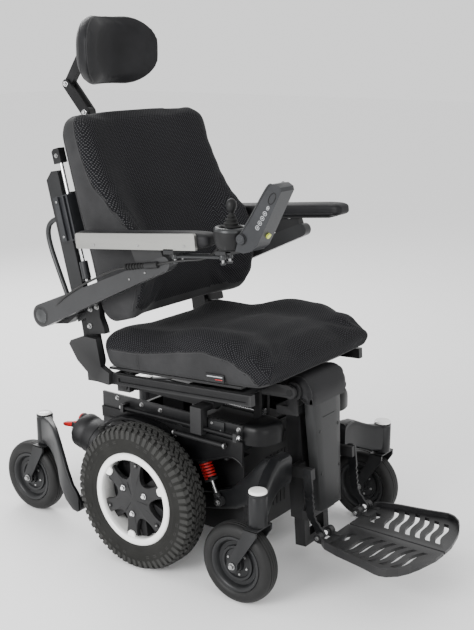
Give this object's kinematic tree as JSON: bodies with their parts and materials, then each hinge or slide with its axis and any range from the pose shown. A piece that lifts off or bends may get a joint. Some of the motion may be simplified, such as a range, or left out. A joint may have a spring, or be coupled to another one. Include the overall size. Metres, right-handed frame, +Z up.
{
  "type": "power wheelchair",
  "caption": "Mid-wheel-drive power wheelchair with powered tilt, reclining back, headrest, swing-away joystick and centre-mount legrest.",
  "frame": {"origin": "centre of the footprint on the floor", "axes": "+Z up, -Y to the front of the chair, +X to the user's left side"},
  "size_m": [0.632, 1.209, 1.303],
  "materials": {
    "black_paint": "satin black",
    "battery_case": "moulded case",
    "black_plastic": "fine texture",
    "shroud_plastic": "satin moulding",
    "motor_metal": "cast, satin",
    "red_plastic": "gloss red",
    "tyre_rubber": "matt tread",
    "white_rim": "gloss white",
    "hub_plastic": "satin grey",
    "grey_arm": "smooth satin",
    "fork_metal": "satin grey",
    "shock_metal": "red spring",
    "chrome_rod": "polished",
    "steel": "brushed",
    "mesh_fabric": "spacer mesh over foam",
    "skin_pad": "smooth coated pad",
    "rail_alloy": "anodised",
    "lever_alloy": "dark grey paint",
    "button_plastic": "yellow green",
    "cover_plastic": "grained cover"
  },
  "bodies": {
    "base": {"chassis_frame": "black_paint", "batteries": "battery_case", "power_module": "black_plastic", "side_shroud_right": "shroud_plastic", "side_shroud_left": "shroud_plastic", "drive_motor_right": "motor_metal", "drive_motor_left": "motor_metal", "tilt_actuator_body": "black_paint"},
    "drive_wheel_right": {"drive_tyre_right": "tyre_rubber", "drive_rim_right": "white_rim", "hub_cover_right": "hub_plastic"},
    "release_right": {"brake_lever_right": "red_plastic"},
    "front_suspension_right": {"front_arm_right": "grey_arm"},
    "rear_suspension_right": {"rear_arm_right": "grey_arm"},
    "castor_front_right": {"castor_fork_front_right": "fork_metal"},
    "castor_roll_front_right": {"castor_wheel_front_right": "tyre_rubber"},
    "castor_rear_right": {"castor_fork_rear_right": "fork_metal"},
    "castor_roll_rear_right": {"castor_wheel_rear_right": "tyre_rubber"},
    "shock_cylinder_right": {"shock_body_right": "shock_metal"},
    "shock_piston_right": {"shock_rod_right": "chrome_rod"},
    "drive_wheel_left": {"drive_tyre_left": "tyre_rubber", "drive_rim_left": "white_rim", "hub_cover_left": "hub_plastic"},
    "release_left": {"brake_lever_left": "red_plastic"},
    "front_suspension_left": {"front_arm_left": "grey_arm"},
    "rear_suspension_left": {"rear_arm_left": "grey_arm"},
    "castor_front_left": {"castor_fork_front_left": "fork_metal"},
    "castor_roll_front_left": {"castor_wheel_front_left": "tyre_rubber"},
    "castor_rear_left": {"castor_fork_rear_left": "fork_metal"},
    "castor_roll_rear_left": {"castor_wheel_rear_left": "tyre_rubber"},
    "shock_cylinder_left": {"shock_body_left": "shock_metal"},
    "shock_piston_left": {"shock_rod_left": "chrome_rod"},
    "tilt_slide": {"tilt_carriage": "black_paint", "tilt_actuator_rod": "chrome_rod"},
    "seat": {"seat_frame": "black_paint", "seat_pan": "black_paint", "seat_cushion": "mesh_fabric"},
    "back": {"back_frame": "black_paint", "back_shell": "black_plastic", "back_cushion": "mesh_fabric"},
    "headrest_post": {"headrest_stem": "black_paint"},
    "headrest_arm": {"headrest_link": "black_paint"},
    "headrest": {"headrest_pad": "skin_pad"},
    "arm_right": {"arm_lever_right": "lever_alloy", "arm_pad_right": "skin_pad", "arm_rail_right": "rail_alloy"},
    "arm_left": {"arm_lever_left": "lever_alloy", "arm_pad_left": "skin_pad"},
    "joystick_swing_inner": {"joystick_link_inner": "chrome_rod"},
    "joystick_swing_outer": {"joystick_link_outer": "chrome_rod"},
    "joystick": {"joystick_pod": "black_plastic"},
    "joystick_ring": {"joystick_gimbal": "steel"},
    "joystick_handle": {"joystick_stick": "black_plastic"},
    "power_key": {"power_button": "button_plastic"},
    "legrest": {"legrest_post": "black_paint", "legrest_cover": "cover_plastic", "knee_roll": "skin_pad", "footplate_hangers": "black_paint"},
    "foot_right": {"footplate_right": "black_plastic"},
    "foot_left": {"footplate_left": "black_plastic"}
  },
  "joints": [
    {"name": "drive_spin_right", "type": "hinge", "parent": "base", "child": "drive_wheel_right", "pos_m": [-0.278, 0.06, 0.178], "axis": [1, 0, 0], "continuous": true},
    {"name": "release_turn_right", "type": "hinge", "parent": "base", "child": "release_right", "pos_m": [-0.19, 0.35645, 0.26864], "axis": [1, 0, 0], "range_deg": [-30, 20]},
    {"name": "front_arm_tilt_right", "type": "hinge", "parent": "base", "child": "front_suspension_right", "pos_m": [-0.159, -0.01, 0.15], "axis": [1, 0, 0], "range_deg": [-3, 3], "stiffness_Nm_per_rad": 1200},
    {"name": "rear_arm_tilt_right", "type": "hinge", "parent": "base", "child": "rear_suspension_right", "pos_m": [-0.159, 0.265, 0.105], "axis": [1, 0, 0], "range_deg": [-3, 3], "stiffness_Nm_per_rad": 1200},
    {"name": "castor_swivel_front_right", "type": "hinge", "parent": "front_suspension_right", "child": "castor_front_right", "pos_m": [-0.279, -0.285, 0.23], "axis": [0, 0, 1], "continuous": true},
    {"name": "castor_spin_front_right", "type": "hinge", "parent": "castor_front_right", "child": "castor_roll_front_right", "pos_m": [-0.279, -0.237, 0.096], "axis": [1, 0, 0], "continuous": true},
    {"name": "castor_swivel_rear_right", "type": "hinge", "parent": "rear_suspension_right", "child": "castor_rear_right", "pos_m": [-0.203, 0.465, 0.23], "axis": [0, 0, 1], "continuous": true},
    {"name": "castor_spin_rear_right", "type": "hinge", "parent": "castor_rear_right", "child": "castor_roll_rear_right", "pos_m": [-0.203, 0.508, 0.096], "axis": [1, 0, 0], "continuous": true},
    {"name": "shock_turn_right", "type": "hinge", "parent": "base", "child": "shock_cylinder_right", "pos_m": [-0.185, -0.052, 0.285], "axis": [1, 0, 0], "range_deg": [-6, 6]},
    {"name": "shock_stroke_right", "type": "slide", "parent": "shock_cylinder_right", "child": "shock_piston_right", "axis": [0, -0.4384, -0.8988], "range_m": [-0.009, 0.009]},
    {"name": "drive_spin_left", "type": "hinge", "parent": "base", "child": "drive_wheel_left", "pos_m": [0.278, 0.06, 0.178], "axis": [1, 0, 0], "continuous": true},
    {"name": "release_turn_left", "type": "hinge", "parent": "base", "child": "release_left", "pos_m": [0.19, 0.35645, 0.26864], "axis": [1, 0, 0], "range_deg": [-30, 20]},
    {"name": "front_arm_tilt_left", "type": "hinge", "parent": "base", "child": "front_suspension_left", "pos_m": [0.159, -0.01, 0.15], "axis": [1, 0, 0], "range_deg": [-3, 3], "stiffness_Nm_per_rad": 1200},
    {"name": "rear_arm_tilt_left", "type": "hinge", "parent": "base", "child": "rear_suspension_left", "pos_m": [0.159, 0.265, 0.105], "axis": [1, 0, 0], "range_deg": [-3, 3], "stiffness_Nm_per_rad": 1200},
    {"name": "castor_swivel_front_left", "type": "hinge", "parent": "front_suspension_left", "child": "castor_front_left", "pos_m": [0.279, -0.285, 0.23], "axis": [0, 0, 1], "continuous": true},
    {"name": "castor_spin_front_left", "type": "hinge", "parent": "castor_front_left", "child": "castor_roll_front_left", "pos_m": [0.279, -0.237, 0.096], "axis": [1, 0, 0], "continuous": true},
    {"name": "castor_swivel_rear_left", "type": "hinge", "parent": "rear_suspension_left", "child": "castor_rear_left", "pos_m": [0.203, 0.465, 0.23], "axis": [0, 0, 1], "continuous": true},
    {"name": "castor_spin_rear_left", "type": "hinge", "parent": "castor_rear_left", "child": "castor_roll_rear_left", "pos_m": [0.203, 0.508, 0.096], "axis": [1, 0, 0], "continuous": true},
    {"name": "shock_turn_left", "type": "hinge", "parent": "base", "child": "shock_cylinder_left", "pos_m": [0.185, -0.052, 0.285], "axis": [1, 0, 0], "range_deg": [-6, 6]},
    {"name": "shock_stroke_left", "type": "slide", "parent": "shock_cylinder_left", "child": "shock_piston_left", "axis": [0, -0.4384, -0.8988], "range_m": [-0.009, 0.009]},
    {"name": "tilt_carriage_slide", "type": "slide", "parent": "base", "child": "tilt_slide", "axis": [0, -1, 0], "range_m": [-0.0005, 0.0815]},
    {"name": "seat_tilt", "type": "hinge", "parent": "tilt_slide", "child": "seat", "pos_m": [0, 0.17, 0.412], "axis": [-1, 0, 0], "range_deg": [0, 30]},
    {"name": "back_recline", "type": "hinge", "parent": "seat", "child": "back", "pos_m": [0, 0.255, 0.47], "axis": [-1, 0, 0], "range_deg": [0, 30]},
    {"name": "headrest_height", "type": "slide", "parent": "back", "child": "headrest_post", "axis": [0, 0.2554, 0.9668], "range_m": [0, 0.08]},
    {"name": "headrest_lower_turn", "type": "hinge", "parent": "headrest_post", "child": "headrest_arm", "pos_m": [0, 0.465, 1.057], "axis": [1, 0, 0], "range_deg": [-30, 8]},
    {"name": "headrest_upper_turn", "type": "hinge", "parent": "headrest_arm", "child": "headrest", "pos_m": [0, 0.53, 1.128], "axis": [1, 0, 0], "range_deg": [-25, 8]},
    {"name": "arm_lift_right", "type": "hinge", "parent": "back", "child": "arm_right", "pos_m": [-0.275, 0.368, 0.579], "axis": [-1, 0, 0], "range_deg": [0, 100]},
    {"name": "arm_lift_left", "type": "hinge", "parent": "back", "child": "arm_left", "pos_m": [0.275, 0.368, 0.579], "axis": [-1, 0, 0], "range_deg": [0, 100]},
    {"name": "joystick_swing_inner", "type": "hinge", "parent": "arm_right", "child": "joystick_swing_inner", "pos_m": [-0.26, -0.0615, 0.77776], "axis": [0, -0.0976, -0.9952], "range_deg": [0, 60]},
    {"name": "joystick_swing_outer", "type": "hinge", "parent": "arm_right", "child": "joystick_swing_outer", "pos_m": [-0.284, -0.0615, 0.77776], "axis": [0, -0.0976, -0.9952], "range_deg": [0, 60]},
    {"name": "joystick_level", "type": "hinge", "parent": "joystick_swing_inner", "child": "joystick", "pos_m": [-0.26, -0.19387, 0.79074], "axis": [0, -0.0976, -0.9952], "range_deg": [-60, 60]},
    {"name": "stick_forward_back", "type": "hinge", "parent": "joystick", "child": "joystick_ring", "pos_m": [-0.272, -0.208, 0.846], "axis": [1, 0, 0], "range_deg": [-18, 18], "stiffness_Nm_per_rad": 0.25},
    {"name": "stick_side_to_side", "type": "hinge", "parent": "joystick_ring", "child": "joystick_handle", "pos_m": [-0.272, -0.208, 0.846], "axis": [0, 1, 0], "range_deg": [-18, 18], "stiffness_Nm_per_rad": 0.25},
    {"name": "power_press", "type": "slide", "parent": "joystick", "child": "power_key", "axis": [0, 0.8829, 0.4695], "range_m": [0, 0.0015], "stiffness_N_per_m": 1500},
    {"name": "legrest_lift", "type": "hinge", "parent": "seat", "child": "legrest", "pos_m": [0, -0.25, 0.452], "axis": [-1, 0, 0], "range_deg": [0, 60]},
    {"name": "footplate_flip_right", "type": "hinge", "parent": "legrest", "child": "foot_right", "pos_m": [-0.089, -0.341, 0.12], "axis": [-1, 0, 0], "range_deg": [0, 85]},
    {"name": "footplate_flip_left", "type": "hinge", "parent": "legrest", "child": "foot_left", "pos_m": [0.089, -0.341, 0.12], "axis": [-1, 0, 0], "range_deg": [0, 85]}
  ],
  "couplings": [
    {"joint": "shock_turn_right", "follows": "front_arm_tilt_right", "ratio": 0.16989},
    {"joint": "shock_stroke_right", "follows": "front_arm_tilt_right", "m_per_rad": 0.096927},
    {"joint": "shock_turn_left", "follows": "front_arm_tilt_left", "ratio": 0.16989},
    {"joint": "shock_stroke_left", "follows": "front_arm_tilt_left", "m_per_rad": 0.096927},
    {"joint": "tilt_carriage_slide", "follows": "seat_tilt", "m_per_rad": 0.15279},
    {"joint": "joystick_swing_outer", "follows": "joystick_swing_inner", "ratio": 1},
    {"joint": "joystick_level", "follows": "joystick_swing_inner", "ratio": -1}
  ]
}
